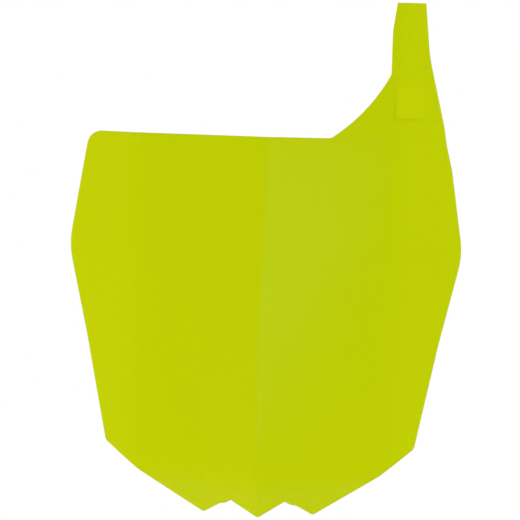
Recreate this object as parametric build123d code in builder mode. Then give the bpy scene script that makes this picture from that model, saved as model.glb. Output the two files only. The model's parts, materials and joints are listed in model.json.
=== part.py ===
# Racing number board: one moulded shell. A ridge runs down the middle of the face, the sides are swept back,
# the chin tucks under and ends in three teeth, and a strap at one side rises to a bolt tab.
# +X is to the right of someone facing the board, +Y points to its back, +Z is up.
# The origin is under the middle of the board, level with the tip of the middle tooth.
from build123d import *
from math import asin, atan2, cos, degrees, hypot, radians, sin, sqrt, tan
import os

os.makedirs("parts", exist_ok=True)

# Wall and section, as seen from above
wall = 2.4
overall_depth = 64.0
main_slope = 10.0
side_slope = 26.0
side_width = 38.7
side_bend_radius = 45.0
ridge_radius = 12.0

# Bow and chin, as seen from the side
bow_radius = 700.0
bow_middle = 115.0
chin_top = 34.0
chin_radius = 40.0
chin_angle = 30.0

# Front outline of the face, the same on both sides, with insets taken from the knee, its widest place
knee_x = 112.2
knee_height = 152.5
knee_radius = 45.0
top_edge = 217.6
top_corner_inset = 9.9
top_corner_radius = 8.5
waist_inset = 12.1
waist_height = 101.5
waist_radius = 300.0
lower_corner_inset = 24.3
lower_corner_height = 41.7
lower_corner_radius = 4.0
chin_corner_inset = 43.6
chin_corner_height = 25.9
chin_corner_radius = 8.0

# Front outline of the teeth
tooth_radius = 2.0
outer_tooth_x = 31.2
outer_tooth_height = 1.6
ledge_x = 20.1
ledge_height = 7.7
ledge_width = 3.8
ledge_fall = 0.8
notch_x = 15.4
notch_height = 9.9
notch_radius = 1.0

# Front outline of the strap, with rises taken from the top edge and insets from the knee
strap_rise = 77.2
strap_tip_inset = 32.9
strap_tip_width = 16.2
strap_tip_radius = 1.6
strap_inner_inset = 43.2
strap_inner_rise = 61.0
strap_inner_radius = 40.0
strap_foot_rise = 36.6
strap_foot_radius = 3.5
strap_outer_inset = 21.8
strap_outer_rise = 47.0
strap_outer_radius = 80.0
root_inset = 12.4
root_rise = 7.4
shoulder_inset = 10.7
shoulder_drop = 3.0
root_radius = 20.0
side_break_drop = 17.6
sweep_start_inset = 76.1
sweep_start_radius = 4.0
sweep_sagitta = 3.1

# Score line, groove and raised pad on the foot of the strap
score_depth = 0.12
score_width = 1.2
score_inner_inset = 70.2
score_outer_inset = 16.2
groove_depth = 0.2
groove_rise = 7.6
groove_ramp = 4.5
pad_rise = 11.7
pad_length = 17.7
pad_width = 15.5
pad_inset = 32.2
pad_height = 0.35
pad_top_height = 0.1
pad_flat = 1.0

# Bolt tab at the tip of the strap, and the ribs behind the strap
tab_thickness = 3.0
bolt_hole_radius = 3.25
rib_spacing = 10.6
rib_thickness = 2.0
rib_depth = 5.0
rib_foot_rise = 16.0
rib_run_out = 12.0

# Pegs behind the chin, each on a boss under a web
peg_x = 30.0
peg_height = 24.3
peg_radius = 4.0
peg_length = 9.0
peg_end_y = 4.0
peg_chamfer = 1.0
boss_radius = 5.5
web_thickness = 2.0
web_rise = 16.0

# Sink marks, shallow hollows that the cooling bosses draw into the face
sink_radius = 4.5
sink_depth = 0.12

# Rounding of the rim at the front; at the back the moulds part and the rim stays sharp
rim_radius = 0.8

# Length of the tab, ribs and bosses that is drawn in front of the wall's back, and cut off inside the wall
root_length = 12.0

# Derived places
front_y = -overall_depth / 2
tip_height = top_edge + strap_rise
side_bend_x = knee_x - side_width
chin_reach = knee_x - side_width / 2
top_corner_x = knee_x - top_corner_inset
waist_x = knee_x - waist_inset
lower_corner_x = knee_x - lower_corner_inset
chin_corner_x = knee_x - chin_corner_inset
strap_tip_x = knee_x - strap_tip_inset
strap_inner_x = knee_x - strap_inner_inset
ridge_cut = ridge_radius * (1 / cos(radians(main_slope)) - 1)
bolt_hole_y = overall_depth / 2 - strap_tip_width / 2
boss_end_y = peg_end_y - peg_length
rib_places = [strap_tip_x - rib_spacing / 2, strap_tip_x + rib_spacing / 2]
score_inner_x = knee_x - score_inner_inset
score_outer_x = knee_x - score_outer_inset
score_low = top_edge - score_width / 2
groove_low = top_edge + groove_rise
pad_low = top_edge + pad_rise
pad_left = knee_x - pad_inset - pad_width / 2
pad_right = pad_left + pad_width
sink_ball_radius = (sink_radius ** 2 + sink_depth ** 2) / (2 * sink_depth)


# Corner points of the section at a depth inside the front face, from left to right as far as its reach
def section_points(depth, reach):
    middle = radians((main_slope + side_slope) / 2)
    half_turn = radians((side_slope - main_slope) / 2)
    ridge_y = depth / cos(radians(main_slope)) - ridge_cut
    bend_x = side_bend_x - depth * sin(middle) / cos(half_turn)
    bend_y = side_bend_x * tan(radians(main_slope)) - ridge_cut + depth * cos(middle) / cos(half_turn)
    end_y = bend_y + (reach - bend_x) * tan(radians(side_slope))
    right = [(bend_x, bend_y), (reach, end_y)]
    left = [(-x, y) for x, y in reversed(right)]
    return left + [(0, ridge_y)] + right


def section_line(depth, reach):
    bend = side_bend_radius - depth
    return FilletPolyline(*section_points(depth, reach), radius=[bend, ridge_radius - depth, bend])


# Section between two depths, drawn square to the face
def sheet_section(plane, front, back, reach):
    with BuildSketch(plane) as section:
        with BuildLine():
            near = section_line(front, reach)
            far = section_line(back, reach)
            Line(near @ 0, far @ 0)
            Line(near @ 1, far @ 1)
        make_face()
    return section.sketch


def section_plane(origin, lean):
    return Plane(origin=origin, x_dir=(1, 0, 0), z_dir=(0, -sin(radians(lean)), cos(radians(lean))))


# The side line bows about a far axis, turns under about a near one, and runs straight down the chin
bow_axis = Axis((0, front_y + bow_radius, bow_middle), (-1, 0, 0))
chin_lean = degrees(asin((bow_middle - chin_top) / bow_radius))
tip_lean = degrees(asin((tip_height - bow_middle) / (bow_radius - overall_depth)))
chin_start = Vector(0, front_y + bow_radius * (1 - cos(radians(chin_lean))), chin_top)
chin_plane = section_plane(chin_start, chin_lean)
chin_axis = Axis(chin_start + chin_plane.y_dir * chin_radius, (1, 0, 0))
tooth_lean = chin_lean + chin_angle
tooth_turn = Vector(0, cos(radians(tooth_lean)), sin(radians(tooth_lean)))
tooth_plane = section_plane(chin_axis.position - tooth_turn * chin_radius, tooth_lean)


# Sheet of the face's form between two depths, larger than the board all round
def sheet(front, back):
    with BuildPart() as curved:
        face_section = sheet_section(chin_plane, front, back, knee_x)
        revolve(face_section, axis=bow_axis, revolution_arc=chin_lean + tip_lean)
        chin_section = sheet_section(chin_plane, front, back, chin_reach)
        revolve(chin_section, axis=chin_axis, revolution_arc=chin_angle)
        tooth_section = sheet_section(tooth_plane, front, back, chin_reach)
        extrude(tooth_section, amount=-chin_top)
    return curved.part


# Part of such a sheet that lies behind a rectangle of the front view
def patch(front, back, left, right, low, high):
    with BuildPart() as piece:
        add(sheet(front, back))
        with BuildSketch(Plane.XZ):
            with Locations(((left + right) / 2, (low + high) / 2)):
                Rectangle(right - left, high - low)
        extrude(amount=overall_depth, both=True, mode=Mode.INTERSECT)
    return piece.part


# Place of the back of the wall on the right of the ridge, above the chin
def back_y(x, height):
    ridge, bend, end = section_points(wall, knee_x)[2:]
    start, stop = (ridge, bend) if x < bend[0] else (bend, end)
    inset = start[1] + (stop[1] - start[1]) * (x - start[0]) / (stop[0] - start[0])
    return front_y + bow_radius - sqrt((bow_radius - inset) ** 2 - (height - bow_middle) ** 2)


# The flank of the middle tooth touches the round of its tip
notch_over_tip = notch_height - tooth_radius
flank_lean = atan2(notch_over_tip, notch_x) + asin(tooth_radius / hypot(notch_x, notch_over_tip))
middle_tooth_height = tooth_radius - tooth_radius / cos(flank_lean)

# Right half of the outline from the notch up to the knee, each corner with its rounding
half_outline = [
    (notch_x, notch_height, notch_radius),
    (ledge_x - ledge_width / 2, ledge_height + ledge_fall / 2, notch_radius),
    (ledge_x + ledge_width / 2, ledge_height - ledge_fall / 2, notch_radius),
    (outer_tooth_x, outer_tooth_height, tooth_radius),
    (chin_corner_x, chin_corner_height, chin_corner_radius),
    (lower_corner_x, lower_corner_height, lower_corner_radius),
    (waist_x, waist_height, waist_radius),
    (knee_x, knee_height, knee_radius),
]

# Outline of the strap from its inner edge over the tip and down to the side of the face
side_break = top_edge - side_break_drop
side_break_x = knee_x + (top_corner_x - knee_x) * (side_break - knee_height) / (top_edge - knee_height)
strap_outline = [
    (strap_inner_x, top_edge + strap_inner_rise, strap_inner_radius),
    (strap_tip_x - strap_tip_width / 2, tip_height, strap_tip_radius),
    (strap_tip_x + strap_tip_width / 2, tip_height, strap_tip_radius),
    (knee_x - strap_outer_inset, top_edge + strap_outer_rise, strap_outer_radius),
    (knee_x - root_inset, top_edge + root_rise, root_radius),
    (knee_x - shoulder_inset, top_edge - shoulder_drop, root_radius),
    (side_break_x, side_break, root_radius),
]

outline = strap_outline + half_outline[::-1]
outline += [(0, middle_tooth_height, tooth_radius)]
outline += [(-x, z, r) for x, z, r in half_outline]
outline += [(-top_corner_x, top_edge, top_corner_radius)]
corners = [(x, z) for x, z, r in outline]
corner_radii = [r for x, z, r in outline]
strap_foot = (strap_inner_x, top_edge + strap_foot_rise)
sweep_start = (knee_x - sweep_start_inset, top_edge)

# Bolt tab, ribs, and pegs on their bosses, cut off inside the wall that carries them
with BuildPart() as fixings:
    tab_length = bolt_hole_y - back_y(strap_tip_x, tip_height) + root_length
    with BuildSketch(Plane.XY.offset(tip_height)):
        with Locations((strap_tip_x, bolt_hole_y)):
            Circle(strap_tip_width / 2)
            Rectangle(strap_tip_width, tab_length, align=(Align.CENTER, Align.MAX))
    extrude(amount=-tab_thickness)

    for x in rib_places:
        foot = top_edge + rib_foot_rise
        full = foot + rib_run_out
        top = tip_height - tab_thickness / 2
        with BuildSketch(Plane.YZ.offset(x)):
            with BuildLine():
                Polyline(
                    (back_y(x, foot) - root_length, foot),
                    (back_y(x, foot), foot),
                    (back_y(x, full) + rib_depth, full),
                    (back_y(x, top) + rib_depth, top),
                    (back_y(x, top) - root_length, top),
                    close=True,
                )
            make_face()
        extrude(amount=rib_thickness / 2, both=True)

    boss_start_y = back_y(peg_x, peg_height) - root_length
    with BuildSketch(Plane.XZ.offset(-boss_end_y)):
        with Locations((-peg_x, peg_height), (peg_x, peg_height)):
            Circle(boss_radius)
    extrude(amount=boss_end_y - boss_start_y)
    with BuildSketch(Plane.XZ.offset(-peg_end_y)):
        with Locations((-peg_x, peg_height), (peg_x, peg_height)):
            Circle(peg_radius)
    extrude(amount=peg_length)
    peg_ends = fixings.faces().filter_by(Axis.Y).filter_by_position(Axis.Z, 0, top_edge).group_by(Axis.Y)[-1]
    chamfer(peg_ends.edges(), peg_chamfer)

    for x in (-peg_x, peg_x):
        with BuildSketch(Plane.YZ.offset(x)):
            with BuildLine():
                Polyline(
                    (boss_start_y, peg_height),
                    (boss_end_y, peg_height),
                    (boss_end_y, peg_height + boss_radius),
                    (boss_start_y, peg_height + boss_radius + web_rise),
                    close=True,
                )
            make_face()
        extrude(amount=web_thickness / 2, both=True)

    add(sheet(-2 * root_length, wall / 2), mode=Mode.SUBTRACT)

# Raised pad that thins towards its top
with BuildPart() as pad:
    add(patch(-pad_height, wall / 2, pad_left, pad_right, pad_low, pad_low + pad_length))
    pad_top = pad.faces().sort_by(Axis.Z)[-1]
    pad_skin = pad.faces().filter_by(lambda face: round(face.normal_at().Y, 1) < 0)
    taper = pad_height - pad_top_height
    chamfer(pad_top.edges() & pad_skin.edges(), taper, pad_length - pad_flat, reference=pad_top)

# Groove under the pad, with a long ramp that is drawn from in front of the face
with BuildPart() as groove:
    add(patch(-wall, groove_depth, pad_left, knee_x, groove_low - 2 * groove_ramp, pad_low))
    groove_foot = groove.faces().sort_by(Axis.Z)[0]
    groove_floor = groove.faces().filter_by(lambda face: round(face.normal_at().Y, 1) > 0)
    ramp_edges = groove_foot.edges() & groove_floor.edges()
    chamfer(ramp_edges, 2 * groove_depth, 2 * groove_ramp, reference=groove_foot)

with BuildPart() as number_board:
    add(sheet(0, wall))

    # Everything outside the front outline is trimmed away
    with BuildSketch(Plane.XZ) as front_outline:
        with BuildLine():
            FilletPolyline(strap_foot, *corners, sweep_start, radius=corner_radii)
            SagittaArc(sweep_start, strap_foot, -sweep_sagitta)
        make_face()
        fillet(front_outline.vertices().sort_by_distance(strap_foot)[0], strap_foot_radius)
        fillet(front_outline.vertices().sort_by_distance(sweep_start)[0], sweep_start_radius)
    extrude(amount=overall_depth, both=True, mode=Mode.INTERSECT)

    # The front edges of the rim are rounded
    rim = number_board.faces().filter_by(lambda face: round(face.normal_at().Y, 2) == 0)
    skin = number_board.faces().filter_by(lambda face: round(face.normal_at().Y, 2) < 0)
    fillet(rim.edges() & skin.edges(), rim_radius)

    # Sink marks in front of the bosses
    for x in (-peg_x, peg_x):
        sight = Axis((x, 2 * front_y, peg_height), (0, 1, 0))
        mark, outward = number_board.part.find_intersection_points(sight)[0]
        with Locations(mark + outward * (sink_ball_radius - sink_depth)):
            Sphere(sink_ball_radius, mode=Mode.SUBTRACT)

    # Details on the foot of the strap
    score = patch(-wall, score_depth, score_inner_x, score_outer_x, score_low, score_low + score_width)
    add(score, mode=Mode.SUBTRACT)
    add(groove.part, mode=Mode.SUBTRACT)
    add(pad.part)

    # Fixings at the back
    add(fixings.part)
    with Locations((strap_tip_x, bolt_hole_y, tip_height)):
        Hole(bolt_hole_radius, depth=tab_thickness)

number_board.part.label = "number_board"
export_step(number_board.part, "parts/number_board.step")
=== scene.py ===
import json
import math

import bpy
from mathutils import Matrix, Vector

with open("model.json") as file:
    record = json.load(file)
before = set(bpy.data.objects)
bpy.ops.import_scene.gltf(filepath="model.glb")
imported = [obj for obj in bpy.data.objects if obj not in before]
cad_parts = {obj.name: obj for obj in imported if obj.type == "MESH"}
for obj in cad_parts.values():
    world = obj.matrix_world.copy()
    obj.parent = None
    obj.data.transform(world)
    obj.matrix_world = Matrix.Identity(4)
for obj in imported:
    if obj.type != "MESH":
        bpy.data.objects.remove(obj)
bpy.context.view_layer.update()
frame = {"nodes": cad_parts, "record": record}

boardNode = frame["nodes"]["number_board"]
print("frame loaded:", sorted(frame["nodes"]))

# camera, at the angle that the board is seen from
viewpoint = {
    "aim": (-0.00189, -0.022, 0.14788),  # the point in the middle of the picture
    "yaw": 2.70,  # degrees round to the strap's side
    "pitch": 3.83,  # degrees above the board
    "roll": 1.54,  # degrees that the board leans clockwise
    "distance": 2.5,
    "lens": 306.4,
    "sensor": 36.0,
    "clip": (0.1, 50.0),
}


def placeCamera(spec):
    yaw, pitch, roll = (math.radians(spec[key]) for key in ("yaw", "pitch", "roll"))
    back = Vector((math.sin(yaw) * math.cos(pitch), -math.cos(yaw) * math.cos(pitch), math.sin(pitch)))
    right = Vector((0, 0, 1)).cross(back).normalized()
    up = back.cross(right)
    leanRight = right * math.cos(roll) + up * math.sin(roll)
    leanUp = up * math.cos(roll) - right * math.sin(roll)
    turn = Matrix((leanRight, leanUp, back)).transposed().to_4x4()
    data = bpy.data.cameras.new("boardCamera")
    data.lens = spec["lens"]
    data.sensor_width = spec["sensor"]
    data.clip_start, data.clip_end = spec["clip"]
    camera = bpy.data.objects.new("boardCamera", data)
    camera.matrix_world = Matrix.Translation(Vector(spec["aim"]) + back * spec["distance"]) @ turn
    bpy.context.scene.collection.objects.link(camera)
    bpy.context.scene.camera = camera


placeCamera(viewpoint)
print("camera placed")

# small helpers for materials
nodeStep = 220  # room for one node, in the row that they stand in
mixSockets = {"VECTOR": (4, 5, 1), "RGBA": (6, 7, 2)}  # a Mix node's two inputs and its output, by number
numberSteps = ("DOT_PRODUCT", "DISTANCE", "LENGTH")  # vector steps that give a number


def fillSockets(tree, node, sockets):  # another node's output is linked, a plain value is set
    for key, value in sockets.items():
        if isinstance(value, bpy.types.NodeSocket):
            tree.links.new(value, node.inputs[key])
        else:
            node.inputs[key].default_value = value


def addNode(tree, kind, sockets=None, **settings):
    node = tree.nodes.new(kind)
    node.location.x = nodeStep * len(tree.nodes)
    for key, value in settings.items():
        setattr(node, key, value)
    fillSockets(tree, node, sockets or {})
    return node


def numberMath(tree, step, *terms):
    return addNode(tree, "ShaderNodeMath", dict(enumerate(terms)), operation=step).outputs["Value"]


def vectorMath(tree, step, *terms):
    node = addNode(tree, "ShaderNodeVectorMath", dict(enumerate(terms)), operation=step)
    return node.outputs["Value" if step in numberSteps else "Vector"]


def mixed(tree, kind, share, under, over):  # the share is how much of the second shows
    first, second, result = mixSockets[kind]
    node = addNode(tree, "ShaderNodeMix", {"Factor": share, first: under, second: over}, data_type=kind)
    return node.outputs[result]


def ranged(tree, value, before, after=(0.0, 1.0), ease="LINEAR"):  # the range before becomes the range after
    sockets = {"From Min": before[0], "From Max": before[1], "To Min": after[0], "To Max": after[1]}
    node = addNode(tree, "ShaderNodeMapRange", {"Value": value, **sockets}, interpolation_type=ease)
    return node.outputs["Result"]


# satin moulded plastic, coloured right through
pegPlaces = [mount["pos_m"] for mount in frame["record"]["mounts"] if mount["kind"] == "pin"]
plastic = {
    "colour": (0.502, 0.625, 0.0002, 1),
    "paleColour": (0.517, 0.639, 0.0005, 1),
    "flowScale": (26.0, 26.0, 9.0),  # per metre, drawn out along the melt's way up the board
    "flow": {"Scale": 1.0, "Detail": 3.0, "Roughness": 0.55, "Distortion": 0.4},
    "rough": (0.225, 0.262),
    "grain": {"Scale": 1500.0, "Detail": 2.0, "Roughness": 0.5},
    "grainBump": {"Strength": 0.4, "Distance": 0.000012},
    "gloss": {  # low and warm, so that the colour stays pure
        "IOR": 1.49, "Specular IOR Level": 0.22, "Specular Tint": (1.0, 0.95, 0.05, 1),
    },
    "edgeColour": (0.560, 0.670, 0.0100, 1),  # rims and corners, rubbed paler
    "edgeRadius": 0.0004,
    "edgeSamples": 6,
    "edgeTurn": 0.12,  # drop in the cosine between the two normals at which an edge is fully rubbed
    "backTurn": (-0.3, 0.0),  # the normal's Y where the back's softer edges begin, and where they are full
    "padPaintedLightColour": (0.536, 0.652, 0.0006, 1),  # painted light: the raised pad on the strap is coloured paler, in place of the extra light it catches by facing further up
    "padMiddle": (0.0800, 0.0, 0.2382),
    "padHalf": (0.0078, 1.0, 0.0089),  # half its width and height; the depth doesn't count
    "padSoft": 0.06,  # the pad's painted light fades over this share of the half size, each way from its outline
    "sinkFace": -0.0193,  # Y of the face in front of the pegs, where the sink marks are
    "sinkRadius": 0.0060,
    "sinkBump": {"Strength": 1.0, "Distance": 0.00025},
}


def edgeMask(tree, spec, rounded):  # 1 where the rounded normal leaves the surface's own
    own = addNode(tree, "ShaderNodeNewGeometry").outputs["Normal"]
    alike = vectorMath(tree, "DOT_PRODUCT", rounded, own)
    return ranged(tree, alike, (1.0, 1.0 - spec["edgeTurn"]))


def backEdges(tree, spec, facing, rounded):  # softer edges on the back, while the face keeps its own normals
    own = addNode(tree, "ShaderNodeNewGeometry").outputs["Normal"]
    backward = addNode(tree, "ShaderNodeSeparateXYZ", {0: facing}).outputs["Y"]
    return mixed(tree, "VECTOR", ranged(tree, backward, spec["backTurn"]), own, rounded)


def padPaintedLightMask(tree, spec, place):  # 1 inside the pad's outline, at any depth; it places the pad's painted light
    offset = vectorMath(tree, "SUBTRACT", place, spec["padMiddle"])
    reach = vectorMath(tree, "ABSOLUTE", vectorMath(tree, "DIVIDE", offset, spec["padHalf"]))
    parts = addNode(tree, "ShaderNodeSeparateXYZ", {0: reach}).outputs
    most = numberMath(tree, "MAXIMUM", parts["X"], parts["Z"])
    return ranged(tree, most, (1.0 + spec["padSoft"], 1.0 - spec["padSoft"]), ease="SMOOTHSTEP")


def sinkHollows(tree, spec, place):  # 1 in the middle of each sink mark, 0 outside
    hollows = []
    for x, _, z in pegPlaces:
        reach = vectorMath(tree, "DISTANCE", place, (x, spec["sinkFace"], z))
        hollows.append(ranged(tree, reach, (0.0, spec["sinkRadius"]), (1.0, 0.0), "SMOOTHSTEP"))
    return numberMath(tree, "ADD", *hollows)


def mouldedPlastic(spec):
    material = bpy.data.materials.new("fluorescentPlastic")
    material.use_nodes = True
    tree = material.node_tree
    coords = addNode(tree, "ShaderNodeTexCoord").outputs
    place = coords["Object"]
    bevel = addNode(tree, "ShaderNodeBevel", {"Radius": spec["edgeRadius"]}, samples=spec["edgeSamples"])
    rounded = bevel.outputs["Normal"]

    streaks = addNode(tree, "ShaderNodeMapping", {"Vector": place, "Scale": spec["flowScale"]})
    flow = addNode(tree, "ShaderNodeTexNoise", {"Vector": streaks.outputs["Vector"], **spec["flow"]})
    mottled = mixed(tree, "RGBA", flow.outputs["Fac"], spec["colour"], spec["paleColour"])
    # painted light: the pad is made paler, as if lit more from above
    paintedPadLight = mixed(tree, "RGBA", padPaintedLightMask(tree, spec, place), mottled, spec["padPaintedLightColour"])
    rubbed = mixed(tree, "RGBA", edgeMask(tree, spec, rounded), paintedPadLight, spec["edgeColour"])

    sinks = addNode(tree, "ShaderNodeBump", {
        "Height": sinkHollows(tree, spec, place),
        "Normal": backEdges(tree, spec, coords["Normal"], rounded),
        **spec["sinkBump"],
    }, invert=True)
    grain = addNode(tree, "ShaderNodeTexNoise", {"Vector": place, **spec["grain"]})
    grained = addNode(tree, "ShaderNodeBump", {
        "Height": grain.outputs["Fac"],
        "Normal": sinks.outputs["Normal"],
        **spec["grainBump"],
    })

    fillSockets(tree, tree.nodes["Principled BSDF"], {
        "Base Color": rubbed,
        "Roughness": ranged(tree, flow.outputs["Fac"], (0.0, 1.0), spec["rough"]),
        "Normal": grained.outputs["Normal"],
        **spec["gloss"],
    })
    return material


boardPlastic = mouldedPlastic(plastic)
for slot in boardNode.material_slots:
    slot.material = boardPlastic
print("plastic in slots:", len(boardNode.material_slots))

# pale floor below the board; further out it turns into the white of the studio
paleFloor = {
    "height": -0.30,
    "radius": 4.0,
    "corners": 96,
    "paint": {"Base Color": (0.88, 0.88, 0.88, 1), "Roughness": 0.9, "Specular IOR Level": 0.0},
    "across": (1, 1, 0),  # distances are taken along the floor
    "shadowRadius": 0.5,  # the floor itself shows inside this
    "whiteRadius": 1.5,
}
plainWhite = {"Color": (1, 1, 1, 1), "Strength": 1.0}


def whiteRays(tree):  # 1 for rays that should meet plain white
    rays = addNode(tree, "ShaderNodeLightPath").outputs
    direct = numberMath(tree, "MAXIMUM", rays["Is Camera Ray"], rays["Is Glossy Ray"])
    return numberMath(tree, "MAXIMUM", direct, rays["Is Transmission Ray"])


def floorPaint(spec):
    material = bpy.data.materials.new("paleFloor")
    material.use_nodes = True
    tree = material.node_tree
    paint = tree.nodes["Principled BSDF"]
    fillSockets(tree, paint, spec["paint"])
    place = addNode(tree, "ShaderNodeTexCoord").outputs["Object"]
    distance = vectorMath(tree, "LENGTH", vectorMath(tree, "MULTIPLY", place, spec["across"]))
    fade = ranged(tree, distance, (spec["shadowRadius"], spec["whiteRadius"]), ease="SMOOTHSTEP")
    white = addNode(tree, "ShaderNodeEmission", plainWhite)
    both = addNode(tree, "ShaderNodeMixShader", {
        "Fac": numberMath(tree, "MULTIPLY", whiteRays(tree), fade),
        1: paint.outputs["BSDF"],
        2: white.outputs["Emission"],
    })
    fillSockets(tree, tree.nodes["Material Output"], {"Surface": both.outputs["Shader"]})
    return material


def layFloor(spec):
    bpy.ops.object.select_all(action="DESELECT")
    bpy.ops.mesh.primitive_circle_add(
        vertices=spec["corners"], radius=spec["radius"], fill_type="NGON", location=(0, 0, spec["height"]))
    bpy.ops.object.transform_apply(location=True, rotation=True, scale=True)
    floor = bpy.context.object
    floor.name = "paleFloor"
    floor.data.materials.append(floorPaint(spec))


layFloor(paleFloor)
print("floor laid")

# plain soft light; the boxes stay out of reflections
softBox = {"aim": (0, 0, 0.13), "lean": 0, "spread": 180, "unseenBy": "glossy", "colour": (1, 1, 1)}
lamps = {
    "frontBox": {**softBox, "place": (-0.15, -2.2, 0.80), "size": (2.0, 2.0), "watts": 15.4},
    "leftBox": {
        **softBox, "place": (-1.97, -0.35, 0.20), "size": (1.2, 1.2), "watts": 12.8, "colour": (1, 0.66, 0.5),
    },
    "rimBox": {
        **softBox, "place": (1.73, 0.06, 1.13), "size": (1.0, 1.4), "watts": 14.0, "colour": (1, 0.83, 0.76),
    },
    "lowBox": {
        **softBox, "place": (0.425, -0.155, -0.28), "aim": (0.02, 0, 0.08),
        "size": (0.3, 0.2), "watts": 0.36, "colour": (1, 0.68, 0.55),
    },
    "backBox": {**softBox, "place": (-1.3, 1.3, 1.25), "size": (0.8, 0.8), "watts": 23.5},
    "coolStrip": {  # the sheen beside the ridge, seen only as gloss
        "place": (0.0400, -0.20, 0.127), "aim": (0.0400, 0, 0.127), "lean": 19, "spread": 120,
        "unseenBy": "diffuse", "size": (0.108, 0.297), "watts": 0.48, "colour": (0, 0.06, 1),
    },
}
studioLight = {"Color": (1, 1, 1, 1), "Strength": 0.517}  # from all round


def hangLamps(specs):
    for name, spec in specs.items():
        data = bpy.data.lights.new(name, "AREA")
        data.shape = "RECTANGLE"
        data.size, data.size_y = spec["size"]
        data.spread = math.radians(spec["spread"])
        data.energy = spec["watts"]
        data.color = spec["colour"]
        lamp = bpy.data.objects.new(name, data)
        place = Vector(spec["place"])
        turn = (Vector(spec["aim"]) - place).to_track_quat("-Z", "Y").to_matrix().to_4x4()
        lean = Matrix.Rotation(math.radians(-spec["lean"]), 4, "Z")
        lamp.matrix_world = Matrix.Translation(place) @ turn @ lean
        lamp.visible_camera = False
        lamp.visible_glossy = spec["unseenBy"] != "glossy"
        lamp.visible_diffuse = spec["unseenBy"] != "diffuse"
        bpy.context.scene.collection.objects.link(lamp)


def lightWorld(light):
    world = bpy.data.worlds.new("whiteStudio")
    bpy.context.scene.world = world
    world.use_nodes = True
    tree = world.node_tree
    background = tree.nodes["Background"]
    fillSockets(tree, background, light)
    white = addNode(tree, "ShaderNodeBackground", plainWhite)
    both = addNode(tree, "ShaderNodeMixShader", {
        "Fac": whiteRays(tree),
        1: background.outputs["Background"],
        2: white.outputs["Background"],
    })
    fillSockets(tree, tree.nodes["World Output"], {"Surface": both.outputs["Shader"]})


hangLamps(lamps)
lightWorld(studioLight)
bpy.context.scene.view_settings.view_transform = "Standard"
print("light set")
